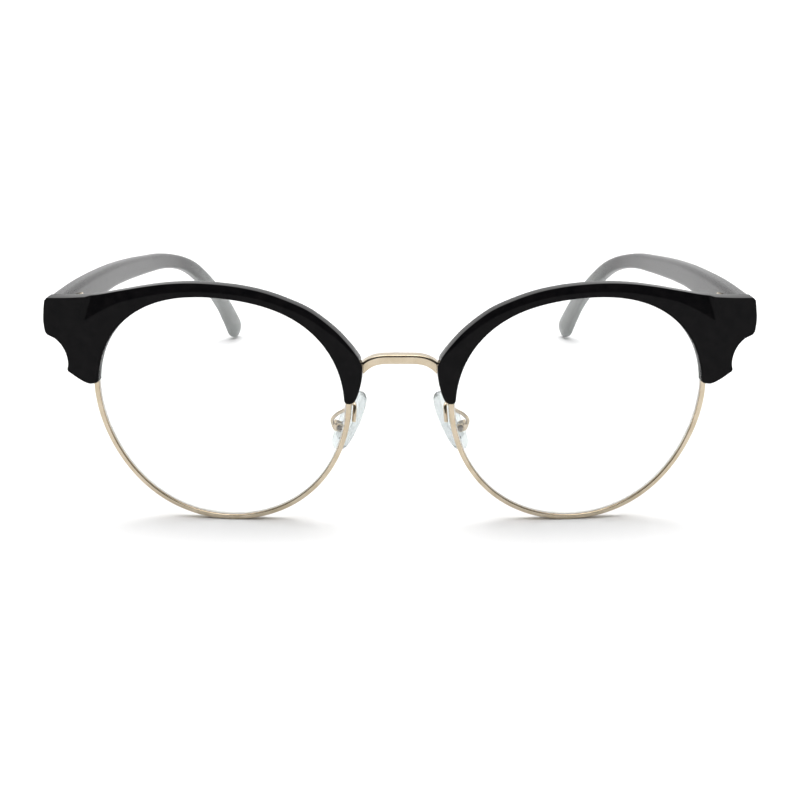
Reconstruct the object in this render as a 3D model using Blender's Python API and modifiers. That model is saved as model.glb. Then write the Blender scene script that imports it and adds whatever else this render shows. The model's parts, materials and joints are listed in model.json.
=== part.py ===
"""Browline eyeglasses, as an assembly of separate parts.

The glasses stand on a table as they do when someone puts them down open: on the bottoms of
the two eyewires and on the tips of the two temples. Units are metres, +Z is up, the front
faces -Y and the wearer's left is +X. The origin is on the table, below the middle.

Every sided piece is made once, as the left one, in one of these frames, and the right one
shares its mesh in the mirrored frame:
  side    origin on the table in the symmetry plane, below the front
  front   origin on the table below the lens centre, turned by the wrap of the front
  temple  origin on the hinge axis, at table height
  pad     origin on the nose pad's screw: X away from the nose, Z up along the pad
"""
import math

import bmesh
import bpy
from mathutils import Euler, Matrix, Vector

MM = 0.001

# Front
LENS_X = 35.55 * MM          # lens centre from the symmetry plane
LENS_Z = 25.19 * MM          # lens centre above the table
FRONT_Y = -69.3 * MM         # front of the eyewires at the lens centres
WRAP = math.radians(4.0)     # each half of the front turns back by this much
OPENING_RADIUS = 23.92 * MM  # mean radius of the opening inside the brow
OPENING_WAVES = (            # what makes the opening a soft square: wave number, cosine, sine
    (2, 0.79 * MM, 0.59 * MM),
    (3, -0.20 * MM, 0.67 * MM),
    (4, -0.21 * MM, 0.03 * MM),
)

# Eyewire
RIM_WIDTH = 1.0 * MM         # across the wire, seen from the front
RIM_DEPTH = 2.0 * MM         # front to back
RIM_OUT = 1.10 * MM          # middle of the wire outside the opening
RIM_NOSE_IN = 0.50 * MM      # how much closer it lies on the nose side
RIM_LOW_OUT = 0.30 * MM      # how much further out it lies at the low corner by the nose
LOW_CORNER = math.radians(232.0)
RIM_CHAMFER = 0.15 * MM
GROOVE = 0.35 * MM           # depth of the lens groove
GROOVE_WIDTH = 1.0 * MM
RIM_STATIONS = 56
CLOSE_ANGLE = math.radians(20.0)   # where the eyewire is cut for its closing block
CLOSE_GAP = 0.3 * MM

# Lens
LENS_CURVE = 131 * MM        # radius of both faces
LENS_V = 0.62 * MM           # half the width of the V edge
LENS_V_HEIGHT = 0.46 * MM
LENS_PLAY = 0.12 * MM        # between the lens edge and the bottom of the groove
LENS_RINGS = (0.06, 0.5, 1.0)   # rings of each face, as shares of the lens's reach

# Closing block, behind the endpiece
BLOCK_WIDTH = 2.4 * MM
BLOCK_DEPTH = 2.2 * MM
BLOCK_REACH = 1.9 * MM       # each half along the eyewire
BLOCK_BORE = 0.55 * MM
CLOSE_SCREW_RADIUS = 0.48 * MM

# Brow
BROW_FRONT = -2.4 * MM       # depths are measured from the front of the eyewires
BROW_BACK = 0.9 * MM
BROW_CHAMFER = 0.25 * MM
LIP_BACK = 0.04 * MM         # depth of the thin end, which lies in front of the wire
FIT = 0.08 * MM              # play between pieces that sit in each other
SEAT = 0.05 * MM             # gap between pieces that lie on each other
FACET_SLOPE = 0.55           # how far the facet leans back for its width
FACET_DROP = 1.1 * MM        # and how far at the endpiece
BROW_SCREW = (-26.25 * MM, 34.1 * MM)   # screw through the bridge's end: outward, height
BROW_SCREW_RADIUS = 0.5 * MM
BROW_SCREW_HOLE = 0.6 * MM
BROW_SCREW_TIP = -1.5 * MM   # depth of its hole
SLOT_WIDTH = 0.28 * MM       # of every screw
STUD_ANGLE = math.radians(23.0)         # stud between closing block and brow
STUD_OUT = 2.9 * MM
STUD_RADIUS = 0.5 * MM
STUD_LENGTH = 1.3 * MM                  # inside the brow

# Hinge
HINGE_OUT = 29.2 * MM        # hinge axis from the lens centre, along the front
HINGE_BACK = 2.3 * MM        # hinge axis behind the front of the eyewires
HINGE_Z = 43.2 * MM
BARREL_RADIUS = 1.15 * MM
BARREL_HEIGHT = 5.0 * MM
KNUCKLES = 5
KNUCKLE_PLAY = 0.05 * MM
LEAF_THICKNESS = 0.7 * MM
LEAF_LENGTH = 7.0 * MM
LEAF_HEIGHT = 4.4 * MM
PIN_RADIUS = 0.55 * MM
PIN_PLAY = 0.05 * MM
RIVET_RADIUS = 0.5 * MM
RIVET_HEAD = (0.85 * MM, 0.3 * MM)             # radius and height of the domed head
FRONT_RIVETS = (23.5 * MM, 26.4 * MM)          # outward places of the front leaf's rivets
TEMPLE_RIVETS = (2.8 * MM, 5.7 * MM)           # the temple leaf's, behind the hinge axis
FRONT_RIVET_DEPTH = 1.0 * MM                   # in the acetate
TEMPLE_RIVET_DEPTH = 0.65 * MM

# Temple
TEMPLE_INNER = 1.2 * MM      # inner face from the hinge axis
TOE_IN = math.radians(1.64)  # the straight part leans inwards
BUTT = 1.25 * MM             # the temple's end in front of the hinge axis
TEMPLE_CORNER = 1.1 * MM     # the section is a rectangle with its corners cut by this much
CORE_HEIGHT = 1.7 * MM
CORE_WIDTH = 0.8 * MM
CORE_CORNER = 0.2 * MM
CORE_STATIONS = (2, 25)      # first and last station of the core wire

# Nose pads
PAD_CENTRE = Vector((10.5, 6.8, 19.25)) * MM   # in the side frame
PAD_SPLAY = math.radians(23.0)
PAD_LEAN = math.radians(26.0)
PAD_TILT = math.radians(11.5)
PAD_PIVOT_OUT = 1.75 * MM    # screw from the pad's middle plane
PAD_PIVOT_DOWN = 1.8 * MM    # screw below the pad's middle
PAD_HEIGHT = 13.6 * MM
PAD_WIDTH = 7.6 * MM
PAD_THICKNESS = 1.7 * MM
PAD_EDGE = 0.84              # size of the pad's faces against its middle
PAD_BELLY = 0.16             # how much wider its lower half is
INSERT_SIZE = (2.1 * MM, 4.6 * MM)   # width and height of the hard insert in the pad's back
INSERT_DEPTH = 0.65 * MM
INSERT_PLAY = 0.1 * MM
LUG_HALF = 0.38 * MM
LUG_RADIUS = 0.6 * MM
PAD_BORE = 0.35 * MM
PAD_SCREW_RADIUS = 0.3 * MM
CHEEK = 0.95 * MM            # half the width of the pad box
BOX_HALF_HEIGHT = 0.85 * MM
BOX_SLOT_HALF = 0.46 * MM
ARM_RADIUS = 0.38 * MM

# Bridge
BRIDGE_HEIGHT = 1.85 * MM
BRIDGE_DEPTH = 2.4 * MM
BRIDGE_FRONT = -1.7 * MM     # front of the bar from the front of the eyewires at the lens centres
BRIDGE_CHAMFER = 0.18 * MM
EYELET_RADIUS = 1.5 * MM     # the bridge's end round the brow screw
EYELET_DEPTHS = (0.15 * MM, 1.1 * MM)

GOLD = ((0.78, 0.60, 0.40, 1.0), 1.0, 0.22)
BLACK_GLOSS = ((0.010, 0.010, 0.011, 1.0), 0.0, 0.08)
BLACK_SATIN = ((0.018, 0.018, 0.020, 1.0), 0.0, 0.30)
CLEAR = ((0.93, 0.95, 0.95, 1.0), 0.0, 0.03)
SILICONE = ((0.80, 0.84, 0.83, 1.0), 0.0, 0.25)
HARD_PLASTIC = ((0.88, 0.90, 0.90, 1.0), 0.0, 0.08)
STEEL = ((0.42, 0.40, 0.38, 1.0), 1.0, 0.30)


# ---------------------------------------------------------------- scene, materials, frames

def clear_scene():
    for old in list(bpy.data.objects):
        bpy.data.objects.remove(old)


def new_collection(name):
    collection = bpy.data.collections.new(name)
    bpy.context.scene.collection.children.link(collection)
    return collection


def material(name, finish):
    colour, metallic, roughness = finish
    made = bpy.data.materials.new(name)
    made.use_nodes = True
    shader = made.node_tree.nodes["Principled BSDF"]
    shader.inputs["Base Color"].default_value = colour
    shader.inputs["Metallic"].default_value = metallic
    shader.inputs["Roughness"].default_value = roughness
    return made


def empty(name, location, turn=(0, 0, 0), parent=None):
    made = bpy.data.objects.new(name, None)
    made.location = location
    made.rotation_euler = turn
    made.parent = parent
    PARTS.objects.link(made)
    return made


def make_frames():
    """The four frames of each side. The right side's are mirrored in the symmetry plane."""
    pad_turn = Euler((PAD_TILT, -PAD_LEAN, -PAD_SPLAY))
    pad_pivot = PAD_CENTRE + pad_turn.to_matrix() @ Vector((PAD_PIVOT_OUT, 0, -PAD_PIVOT_DOWN))
    hinge = Vector((HINGE_OUT, HINGE_BACK, 0))
    hinge.rotate(Euler((0, 0, WRAP)))
    hinge.x += LENS_X
    frames = {}
    for side, sign in (("left", 1), ("right", -1)):
        middle = empty(f"side_{side}", (0, FRONT_Y, 0))
        middle.scale = (sign, 1, 1)
        front = empty(f"front_{side}", (LENS_X, 0, 0), (0, 0, WRAP), middle)
        temple = empty(f"hinge_axis_{side}", hinge, parent=middle)
        pad = empty(f"pad_axis_{side}", pad_pivot, pad_turn, middle)
        frames[side] = {"side": middle, "front": front, "temple": temple, "pad": pad}
    return frames


# ---------------------------------------------------------------- modelling helpers

def add_object(name, mesh, collection=None):
    made = bpy.data.objects.new(name, mesh)
    (collection or PARTS).objects.link(made)
    return made


def as_cutter(piece):
    """Move a piece to the cutters, which are not parts."""
    for owner in list(piece.users_collection):
        owner.objects.unlink(piece)
    CUTTERS.objects.link(piece)
    piece.hide_render = True
    piece.display_type = 'WIRE'
    return piece


def bake(piece):
    """The object's evaluated mesh, with the object's own transform in it. Removes the object."""
    bpy.context.view_layer.update()
    graph = bpy.context.evaluated_depsgraph_get()
    mesh = bpy.data.meshes.new_from_object(piece.evaluated_get(graph))
    mesh.transform(piece.matrix_world)
    work = bmesh.new()
    work.from_mesh(mesh)
    bmesh.ops.remove_doubles(work, verts=work.verts, dist=1e-7)
    bmesh.ops.recalc_face_normals(work, faces=work.faces)
    work.to_mesh(mesh)
    work.free()
    bpy.data.objects.remove(piece)
    return mesh


def combine(base, others, operation):
    """Base mesh with each of the other meshes joined to it or cut from it."""
    piece = add_object("work", base)
    for i, other in enumerate(others):
        cutter = as_cutter(add_object(f"cutter_{len(CUTTERS.objects)}", other))
        step = piece.modifiers.new(f"step_{i}", 'BOOLEAN')
        step.operation = operation
        step.solver = 'EXACT'
        step.object = cutter
    return bake(piece)


def box(low, high):
    low, high = Vector(low), Vector(high)
    bpy.ops.mesh.primitive_cube_add(size=1, location=(low + high) / 2)
    piece = bpy.context.object
    piece.scale = high - low
    return bake(piece)


def cylinder(radius, start, end, sides=20):
    start, end = Vector(start), Vector(end)
    along = end - start
    bpy.ops.mesh.primitive_cylinder_add(
        vertices=sides, radius=radius, depth=along.length, location=(start + end) / 2,
        rotation=along.to_track_quat('Z', 'Y').to_euler())
    return bake(bpy.context.object)


def loft(rings):
    """A closed body through rings of points, with a face on each end."""
    work = bmesh.new()
    loops = [[work.verts.new(point) for point in ring] for ring in rings]
    for one, two in zip(loops, loops[1:]):
        for i, corner in enumerate(one):
            j = (i + 1) % len(one)
            work.faces.new((corner, one[j], two[j], two[i]))
    work.faces.new(loops[0])
    work.faces.new(loops[-1])
    bmesh.ops.recalc_face_normals(work, faces=work.faces)
    mesh = bpy.data.meshes.new("loft")
    work.to_mesh(mesh)
    work.free()
    return mesh


def turned(profile, steps=12):
    """A body turned about Z from a profile of (radius, height) points, from top to bottom."""
    mesh = bpy.data.meshes.new("profile")
    points = [(radius, 0, height) for radius, height in profile]
    mesh.from_pydata(points, [(i, i + 1) for i in range(len(points) - 1)], [])
    piece = add_object("turned", mesh)
    screw = piece.modifiers.new("turn", 'SCREW')
    screw.steps = steps
    screw.render_steps = steps
    screw.use_merge_vertices = True
    screw.merge_threshold = 1e-6
    return bake(piece)


def along_curve(points, radius=None, profile=None, resolution=2):
    """A wire of round section, or of the given profile, along a POLY curve."""
    data = bpy.data.curves.new("path", 'CURVE')
    data.dimensions = '3D'
    spline = data.splines.new('POLY')
    spline.points.add(len(points) - 1)
    for target, point in zip(spline.points, points):
        target.co = (*point, 1)
    data.use_fill_caps = True
    if profile:
        data.twist_mode = 'Z_UP'
        data.bevel_mode = 'OBJECT'
        data.bevel_object = profile
    else:
        data.bevel_depth = radius
        data.bevel_resolution = resolution
    return bake(add_object("wire", data))


def profile_curve(points):
    """A closed section for along_curve: x across the path, y up."""
    data = bpy.data.curves.new("section", 'CURVE')
    data.dimensions = '2D'
    spline = data.splines.new('POLY')
    spline.points.add(len(points) - 1)
    spline.use_cyclic_u = True
    for target, point in zip(spline.points, points):
        target.co = (*point, 0, 1)
    return as_cutter(add_object("section", data))


def moved(mesh, offset=(0, 0, 0), axis='Z', angle=0.0):
    """The mesh turned about an axis through its origin and then moved."""
    mesh.transform(Matrix.Translation(Vector(offset)) @ Matrix.Rotation(angle, 4, axis))
    return mesh


def smooth(points, per_span):
    """Points on a Catmull-Rom curve through the given tuples, with the ends kept."""
    out = []
    last = len(points) - 1
    for i in range(last):
        before = points[max(i - 1, 0)]
        after = points[min(i + 2, last)]
        for k in range(per_span):
            t = k / per_span
            out.append(tuple(
                0.5 * (2 * b + (c - a) * t + (2 * a - 5 * b + 4 * c - d) * t ** 2
                       + (3 * b - a - 3 * c + d) * t ** 3)
                for a, b, c, d in zip(before, points[i], points[i + 1], after)))
    out.append(tuple(points[last]))
    return out


def finish(name, mesh, look, smooth_angle=40):
    mesh.name = name
    mesh.materials.clear()
    mesh.materials.append(look)
    mesh.shade_smooth()
    mesh.set_sharp_from_angle(angle=math.radians(smooth_angle))
    return mesh


def pair(name, mesh, look, frame, at=(0, 0, 0), turn=0.0):
    """The left piece and its mirrored right one, which shares the mesh."""
    finish(name, mesh, look)
    for side in ("left", "right"):
        piece = add_object(f"{name}_{side}", mesh)
        piece.parent = FRAMES[side][frame]
        piece.location = at
        piece.rotation_euler = (0, 0, turn)


# ---------------------------------------------------------------- outlines

# Outer edge of the brow in the front frame, in mm: outward, height, and the angle in degrees
# of the opening's point that faces it. A new run starts at each corner.
BROW_RUNS = (
    ((26.5, 29.4, 10.5), (28.6, 30.7, 12.0), (30.5, 32.1, 13.3)),
    ((30.6, 32.5, 13.7), (30.35, 33.8, 14.8), (30.6, 35.7, 16.3), (31.4, 37.5, 18.0),
     (32.7, 38.9, 19.8), (34.1, 39.6, 21.4)),
    ((34.5, 40.2, 22.3), (34.65, 42.4, 26.0), (34.4, 44.8, 30.0), (34.1, 46.5, 32.6)),
    ((33.6, 47.0, 33.8), (29.0, 47.1, 38.0), (24.1, 47.5, 43.5), (19.2, 48.4, 50.8),
     (14.4, 49.3, 59.3), (9.7, 49.95, 68.8), (5.0, 50.2, 78.8), (0.3, 50.05, 89.3),
     (-4.4, 49.55, 100.2), (-9.1, 48.6, 111.3), (-13.7, 47.05, 122.2), (-18.3, 44.9, 133.0),
     (-22.9, 41.4, 144.8), (-26.0, 38.1, 153.6), (-27.7, 35.8, 158.4)),
    ((-28.4, 34.2, 161.0), (-28.35, 32.2, 164.5), (-28.0, 30.2, 168.5), (-27.5, 28.4, 172.4),
     (-26.9, 27.1, 175.2), (-26.1, 26.3, 177.2)),
)
BROW_FLANGE_END = 159.5      # degrees: past this the brow is only the lip in front of the wire
FACET = (  # width of the facet across the brow, in mm, by the outward place of its edge
    (26.4, 0.0), (25.2, 3.6), (24.0, 3.4), (22.0, 2.8), (17.0, 2.0), (12.0, 1.6), (5.0, 1.5),
    (-18.0, 1.15), (-22.0, 0.95), (-26.0, 0.5), (-27.7, 0.12),
)
BRIDGE_LINE = (  # half of the bridge's middle line, in mm: outward and height
    (0.0, 34.86), (3.0, 34.83), (4.6, 34.62), (5.9, 34.15), (7.0, 33.4), (8.1, 32.4),
    (9.2, 31.6), (10.1, 31.1),
)
# Middle line of the temple from the hinge axis, in mm: outward, back, height above the table,
# and the temple's height and thickness there.
TEMPLE_LINE = (
    (3.3, -6.0, 43.75, 7.4, 3.8), (3.15, 0.0, 43.65, 7.3, 3.8), (2.68, 15.7, 43.15, 6.4, 3.75),
    (2.02, 35.0, 42.0, 5.35, 3.6), (1.5, 48.7, 40.5, 5.0, 3.5), (0.9, 61.7, 38.7, 4.75, 3.5),
    (0.15, 73.7, 36.9, 4.4, 3.5), (-0.9, 84.7, 35.2, 4.1, 3.5), (-2.3, 94.7, 33.0, 3.8, 3.5),
    (-3.9, 102.7, 30.6, 3.7, 3.5), (-5.6, 109.7, 27.4, 3.9, 3.5), (-7.45, 116.7, 22.8, 4.0, 3.5),
    (-9.4, 123.7, 17.4, 4.2, 3.5), (-11.3, 129.7, 11.4, 5.0, 3.4), (-13.2, 135.2, 3.8, 6.2, 3.3),
)
TIP_ROUNDING = ((2.0, 0.90), (3.2, 0.62), (3.7, 0.30))   # beyond the last point: mm, scale
PAD_ARM = (  # side frame, in mm: up the nose side of the eyewire, back, and down to the box
    (9.29, -0.5, 21.6), (9.14, -0.45, 23.4), (9.09, 0.15, 24.7), (9.5, 1.5, 24.9),
    (10.2, 2.9, 23.9), (11.2, 4.1, 22.7), (12.7, 5.0, 21.6), (13.7, 5.42, 20.6),
    (14.03, 5.6, 19.8), (13.87, 5.76, 19.0),
)


def opening(angle, offset=0.0):
    """Point (x, z) of the lens opening, moved out along its normal.

    The angle is measured at the lens centre, from outward and up."""
    radius = OPENING_RADIUS
    slope = 0.0
    for number, cosine, sine in OPENING_WAVES:
        c, s = math.cos(number * angle), math.sin(number * angle)
        radius += cosine * c + sine * s
        slope += number * (sine * c - cosine * s)
    tangent = Vector((slope * math.cos(angle) - radius * math.sin(angle),
                      slope * math.sin(angle) + radius * math.cos(angle))).normalized()
    return (radius * math.cos(angle) + offset * tangent.y,
            LENS_Z + radius * math.sin(angle) - offset * tangent.x)


def rim_offset(angle):
    """Middle of the eyewire outside the opening: closer at the nose, further below it."""
    nose = ((1 - math.cos(angle)) / 2) ** 3
    low = max(math.cos(angle - LOW_CORNER), 0.0) ** 6
    return RIM_OUT - RIM_NOSE_IN * nose + RIM_LOW_OUT * low


def facet_width(outward):
    """Width of the facet where the brow's upper edge is this far outward."""
    if outward >= FACET[0][0] or outward <= FACET[-1][0]:
        return 0.0
    for (x0, w0), (x1, w1) in zip(FACET, FACET[1:]):
        if x1 <= outward <= x0:
            return w0 + (w1 - w0) * (x0 - outward) / (x0 - x1)
    return 0.0


# ---------------------------------------------------------------- front

def make_rims():
    """The eyewires: one grooved profile led round the opening, open at the closing block."""
    half = RIM_WIDTH / 2
    groove_half = GROOVE_WIDTH / 2
    middle = RIM_DEPTH / 2
    section = profile_curve((
        (-half, -RIM_CHAMFER), (-half, -(middle - groove_half)), (-half + GROOVE, -middle),
        (-half, -(middle + groove_half)), (-half, -RIM_DEPTH), (half, -RIM_DEPTH),
        (half, -RIM_CHAMFER), (half - RIM_CHAMFER, 0), (-half + RIM_CHAMFER, 0)))
    gap = CLOSE_GAP / OPENING_RADIUS
    points = []
    for i in range(RIM_STATIONS + 1):
        angle = CLOSE_ANGLE + gap / 2 + (2 * math.pi - gap) * i / RIM_STATIONS
        x, z = opening(angle, rim_offset(angle))
        points.append((x, z, 0))
    wire = moved(along_curve(points, profile=section), axis='X', angle=math.pi / 2)
    pair("rim", wire, GOLD_METAL, "front")


def make_lenses():
    """The lenses: two faces of one curve and a V edge that lies in the eyewire's groove."""
    v_tip = GROOVE - LENS_PLAY - RIM_WIDTH / 2
    v_root = v_tip - LENS_V_HEIGHT
    middle = RIM_DEPTH / 2

    def ring(offset, share, depth):
        points = []
        for i in range(RIM_STATIONS):
            angle = CLOSE_ANGLE + 2 * math.pi * i / RIM_STATIONS
            edge_x, edge_z = opening(angle, rim_offset(angle) + offset)
            edge_z -= LENS_Z
            reach = math.hypot(edge_x, edge_z)
            bulge = (reach ** 2 - (share * reach) ** 2) / (2 * LENS_CURVE)
            points.append((edge_x * share, depth - bulge, LENS_Z + edge_z * share))
        return points

    front = [ring(v_root, share, middle - LENS_V) for share in LENS_RINGS]
    back = [ring(v_root, share, middle + LENS_V) for share in reversed(LENS_RINGS)]
    lens = loft(front + [ring(v_tip, 1.0, middle)] + back)
    pair("lens", lens, CLEAR_PLASTIC, "front")


def brow_section(outward, height, degrees):
    """Ring of the brow at one station: lip, facet, flange over the eyewire and rebate."""
    angle = math.radians(degrees)
    inner = Vector(opening(angle))
    over_rim = Vector(opening(angle, rim_offset(angle) + RIM_WIDTH / 2 + FIT))
    outer = Vector((outward, height)) * MM
    across = (outer - inner).normalized()
    facet = facet_width(outward) * MM
    ridge = outer - across * max(facet, 2 * SEAT)
    drop = min(max(facet * FACET_SLOPE, SEAT), FACET_DROP)
    back = BROW_BACK if degrees < BROW_FLANGE_END else LIP_BACK
    over_lip = inner + across * BROW_CHAMFER
    return [(p.x, y, p.y) for p, y in (
        (inner, BROW_FRONT + BROW_CHAMFER), (over_lip, BROW_FRONT), (ridge, BROW_FRONT),
        (outer, BROW_FRONT + drop), (outer, back), (over_rim, back), (over_rim, -FIT),
        (inner, -FIT))]


def brow_stations():
    """The brow's stations, with two close ones where its flange ends."""
    stations = []
    for run in BROW_RUNS:
        stations += smooth(run, 2)
    k = [s[2] >= BROW_FLANGE_END for s in stations].index(True)
    before, after = stations[k - 1], stations[k]
    step = []
    for degrees in (BROW_FLANGE_END - 0.15, BROW_FLANGE_END):
        share = (degrees - before[2]) / (after[2] - before[2])
        step.append(tuple(a + (b - a) * share for a, b in zip(before, after)))
    return stations[:k] + step + stations[k:]


def depth_hole(radius, x, z, front, sides=12):
    """A cutter along Y, from the given depth out through the back of the front."""
    return cylinder(radius, (x, front, z), (x, BROW_BACK + 1 * MM, z), sides)


def make_brows():
    """The brows: a loft between the lens opening and the brow's own outer edge."""
    brow = loft([brow_section(*s) for s in brow_stations()])
    holes = [depth_hole(RIVET_RADIUS + PIN_PLAY, x, HINGE_Z,
                        BROW_BACK - FRONT_RIVET_DEPTH - 2 * SEAT) for x in FRONT_RIVETS]
    holes.append(depth_hole(BROW_SCREW_HOLE, *BROW_SCREW, BROW_SCREW_TIP))
    holes.append(depth_hole(EYELET_RADIUS + FIT, *BROW_SCREW, EYELET_DEPTHS[0] - FIT, 20))
    holes.append(depth_hole(STUD_RADIUS + FIT, *opening(STUD_ANGLE, STUD_OUT),
                            BROW_BACK - STUD_LENGTH - FIT))
    pair("brow", combine(brow, holes, 'DIFFERENCE'), BLACK_ACETATE, "front")


def make_bridge():
    """The bridge: a flat bar that arches over the nose, with an eyelet behind each brow."""
    line = smooth([(x * MM, z * MM) for x, z in BRIDGE_LINE], 2)
    line = [(-x, z) for x, z in reversed(line[1:])] + line
    h, d, c = BRIDGE_HEIGHT / 2, BRIDGE_DEPTH / 2, BRIDGE_CHAMFER
    section = profile_curve(((-h, -d), (h, -d), (h, d - c), (h - c, d), (-h + c, d), (-h, d - c)))
    bar = along_curve([(x, z, 0) for x, z in line], profile=section)
    moved(bar, (0, BRIDGE_FRONT + d, 0), 'X', math.pi / 2)
    eyelets, holes = [], []
    for sign in (-1, 1):
        turn = Matrix.Rotation(sign * WRAP, 4, 'Z')
        foot = Matrix.Translation((sign * LENS_X, 0, 0)) @ turn
        x = sign * BROW_SCREW[0]
        ends = [foot @ Vector((x, depth, BROW_SCREW[1])) for depth in EYELET_DEPTHS]
        beyond = [foot @ Vector((x, depth, BROW_SCREW[1])) for depth in (-1 * MM, 4 * MM)]
        eyelets.append(cylinder(EYELET_RADIUS, *ends, 20))
        holes.append(cylinder(BROW_SCREW_HOLE, *beyond, 12))
    bridge = combine(combine(bar, eyelets, 'UNION'), holes, 'DIFFERENCE')
    finish("bridge", bridge, GOLD_METAL)
    piece = add_object("bridge", bridge)
    piece.location = (0, FRONT_Y, 0)


def slotted_screw(head_radius, head_height, radius, length):
    """A screw that points down -Z, with the seat of its head at z = 0."""
    screw = turned(((0, head_height), (head_radius * 0.7, head_height),
                    (head_radius, head_height * 0.6), (head_radius, 0), (radius, 0),
                    (radius, -length), (0, -length)))
    slot = box((-2 * head_radius, -SLOT_WIDTH / 2, head_height * 0.55),
               (2 * head_radius, SLOT_WIDTH / 2, 2 * head_height))
    return combine(screw, [slot], 'DIFFERENCE')


def make_brow_screws():
    seat = EYELET_DEPTHS[1] + SEAT
    screw = slotted_screw(0.95 * MM, 0.45 * MM, BROW_SCREW_RADIUS, seat - BROW_SCREW_TIP - FIT)
    moved(screw, axis='X', angle=-math.pi / 2)
    pair("brow_screw", screw, DARK_STEEL, "front", (BROW_SCREW[0], seat, BROW_SCREW[1]))


def make_closing_blocks():
    """The cut tube that closes the eyewire, its screw, and the stud that holds the brow."""
    inner = RIM_OUT + RIM_WIDTH / 2 + SEAT
    outer = inner + BLOCK_WIDTH
    front = BROW_BACK + 2 * SEAT
    back = front + BLOCK_DEPTH
    x, depth = (inner + outer) / 2, (front + back) / 2
    x0, z0 = opening(CLOSE_ANGLE)
    for name, low, high in (("closing_block_upper", CLOSE_GAP / 2, BLOCK_REACH),
                            ("closing_block_lower", -BLOCK_REACH, -CLOSE_GAP / 2)):
        bore = cylinder(BLOCK_BORE, (x, depth, -2 * BLOCK_REACH), (x, depth, 2 * BLOCK_REACH), 12)
        half = box((inner, front, low), (outer, back, high))
        block = moved(combine(half, [bore], 'DIFFERENCE'), axis='Y', angle=-CLOSE_ANGLE)
        pair(name, block, GOLD_METAL, "front", (x0, 0, z0))
    screw = slotted_screw(0.85 * MM, 0.4 * MM, CLOSE_SCREW_RADIUS, 2 * BLOCK_REACH + 4 * SEAT)
    moved(screw, (x, depth, BLOCK_REACH + SEAT))
    moved(screw, axis='Y', angle=-CLOSE_ANGLE)
    pair("rim_screw", screw, DARK_STEEL, "front", (x0, 0, z0))
    x, z = opening(STUD_ANGLE, STUD_OUT)
    stud = cylinder(STUD_RADIUS, (x, BROW_BACK - STUD_LENGTH, z), (x, front - SEAT, z), 12)
    pair("brow_stud", stud, GOLD_METAL, "front")


# ---------------------------------------------------------------- hinges

def leaf(plate, own):
    """A hinge leaf: a plate, and the knuckles that are its own, bored for the pin."""
    half = BARREL_HEIGHT / 2
    pitch = BARREL_HEIGHT / KNUCKLES
    barrel = cylinder(BARREL_RADIUS, (0, 0, -half), (0, 0, half), 18)
    body = combine(plate, [barrel], 'UNION')
    cuts = []
    for k in range(KNUCKLES):
        if k in own:
            continue
        low = -half + k * pitch - KNUCKLE_PLAY
        high = -half + (k + 1) * pitch + KNUCKLE_PLAY
        if k == 0:
            low -= pitch
        if k == KNUCKLES - 1:
            high += pitch
        cuts.append(cylinder(BARREL_RADIUS + 0.1 * MM, (0, 0, low), (0, 0, high), 18))
    cuts.append(cylinder(PIN_RADIUS + PIN_PLAY, (0, 0, -2 * half), (0, 0, 2 * half), 12))
    return combine(body, cuts, 'DIFFERENCE')


def rivet(length):
    """A rivet that points down -Z, with the seat of its domed head at z = 0."""
    head, dome = RIVET_HEAD
    return turned(((0, dome), (head * 0.55, dome * 0.85), (head, 0), (RIVET_RADIUS, 0),
                   (RIVET_RADIUS, -length), (0, -length)))


def make_front_hinges():
    """The front's leaves, with three of the five knuckles, riveted to the brow."""
    half = LEAF_HEIGHT / 2
    near = BROW_BACK + SEAT - HINGE_BACK
    far = near + LEAF_THICKNESS
    plate = box((-LEAF_LENGTH, near, -half), (0, far, half))
    holes = [cylinder(RIVET_RADIUS + PIN_PLAY, (x - HINGE_OUT, 2 * near, 0),
                      (x - HINGE_OUT, -2 * near, 0), 12) for x in FRONT_RIVETS]
    front = combine(leaf(plate, (0, 2, 4)), holes, 'DIFFERENCE')
    pair("front_hinge", front, GOLD_METAL, "front", (HINGE_OUT, HINGE_BACK, HINGE_Z))
    for letter, x in zip("ab", FRONT_RIVETS):
        shank = rivet(LEAF_THICKNESS + FRONT_RIVET_DEPTH)
        moved(shank, axis='X', angle=-math.pi / 2)
        pair(f"front_rivet_{letter}", shank, GOLD_METAL, "front",
             (x, HINGE_BACK + far + SEAT, HINGE_Z))
    pin = slotted_screw(0.95 * MM, 0.4 * MM, PIN_RADIUS, BARREL_HEIGHT)
    pair("hinge_screw", pin, DARK_STEEL, "front",
         (HINGE_OUT, HINGE_BACK, HINGE_Z + BARREL_HEIGHT / 2 + SEAT))


def make_temple_hinges():
    """The temples' leaves, with the other two knuckles, riveted to the temple's inner face."""
    half = LEAF_HEIGHT / 2
    outer = TEMPLE_INNER - SEAT
    inner = outer - LEAF_THICKNESS
    plate = box((inner, 0, -half), (outer, LEAF_LENGTH, half))
    holes = [cylinder(RIVET_RADIUS + PIN_PLAY, (-2 * outer, y, 0), (2 * outer, y, 0), 12)
             for y in TEMPLE_RIVETS]
    hinge = combine(leaf(plate, (1, 3)), holes, 'DIFFERENCE')
    pair("temple_hinge", hinge, GOLD_METAL, "temple", (0, 0, HINGE_Z), TOE_IN)
    for letter, y in zip("ab", TEMPLE_RIVETS):
        shank = rivet(LEAF_THICKNESS + TEMPLE_RIVET_DEPTH)
        moved(shank, (inner - SEAT, y, 0), 'Y', -math.pi / 2)
        pair(f"temple_rivet_{letter}", shank, GOLD_METAL, "temple", (0, 0, HINGE_Z), TOE_IN)


# ---------------------------------------------------------------- temples

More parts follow.
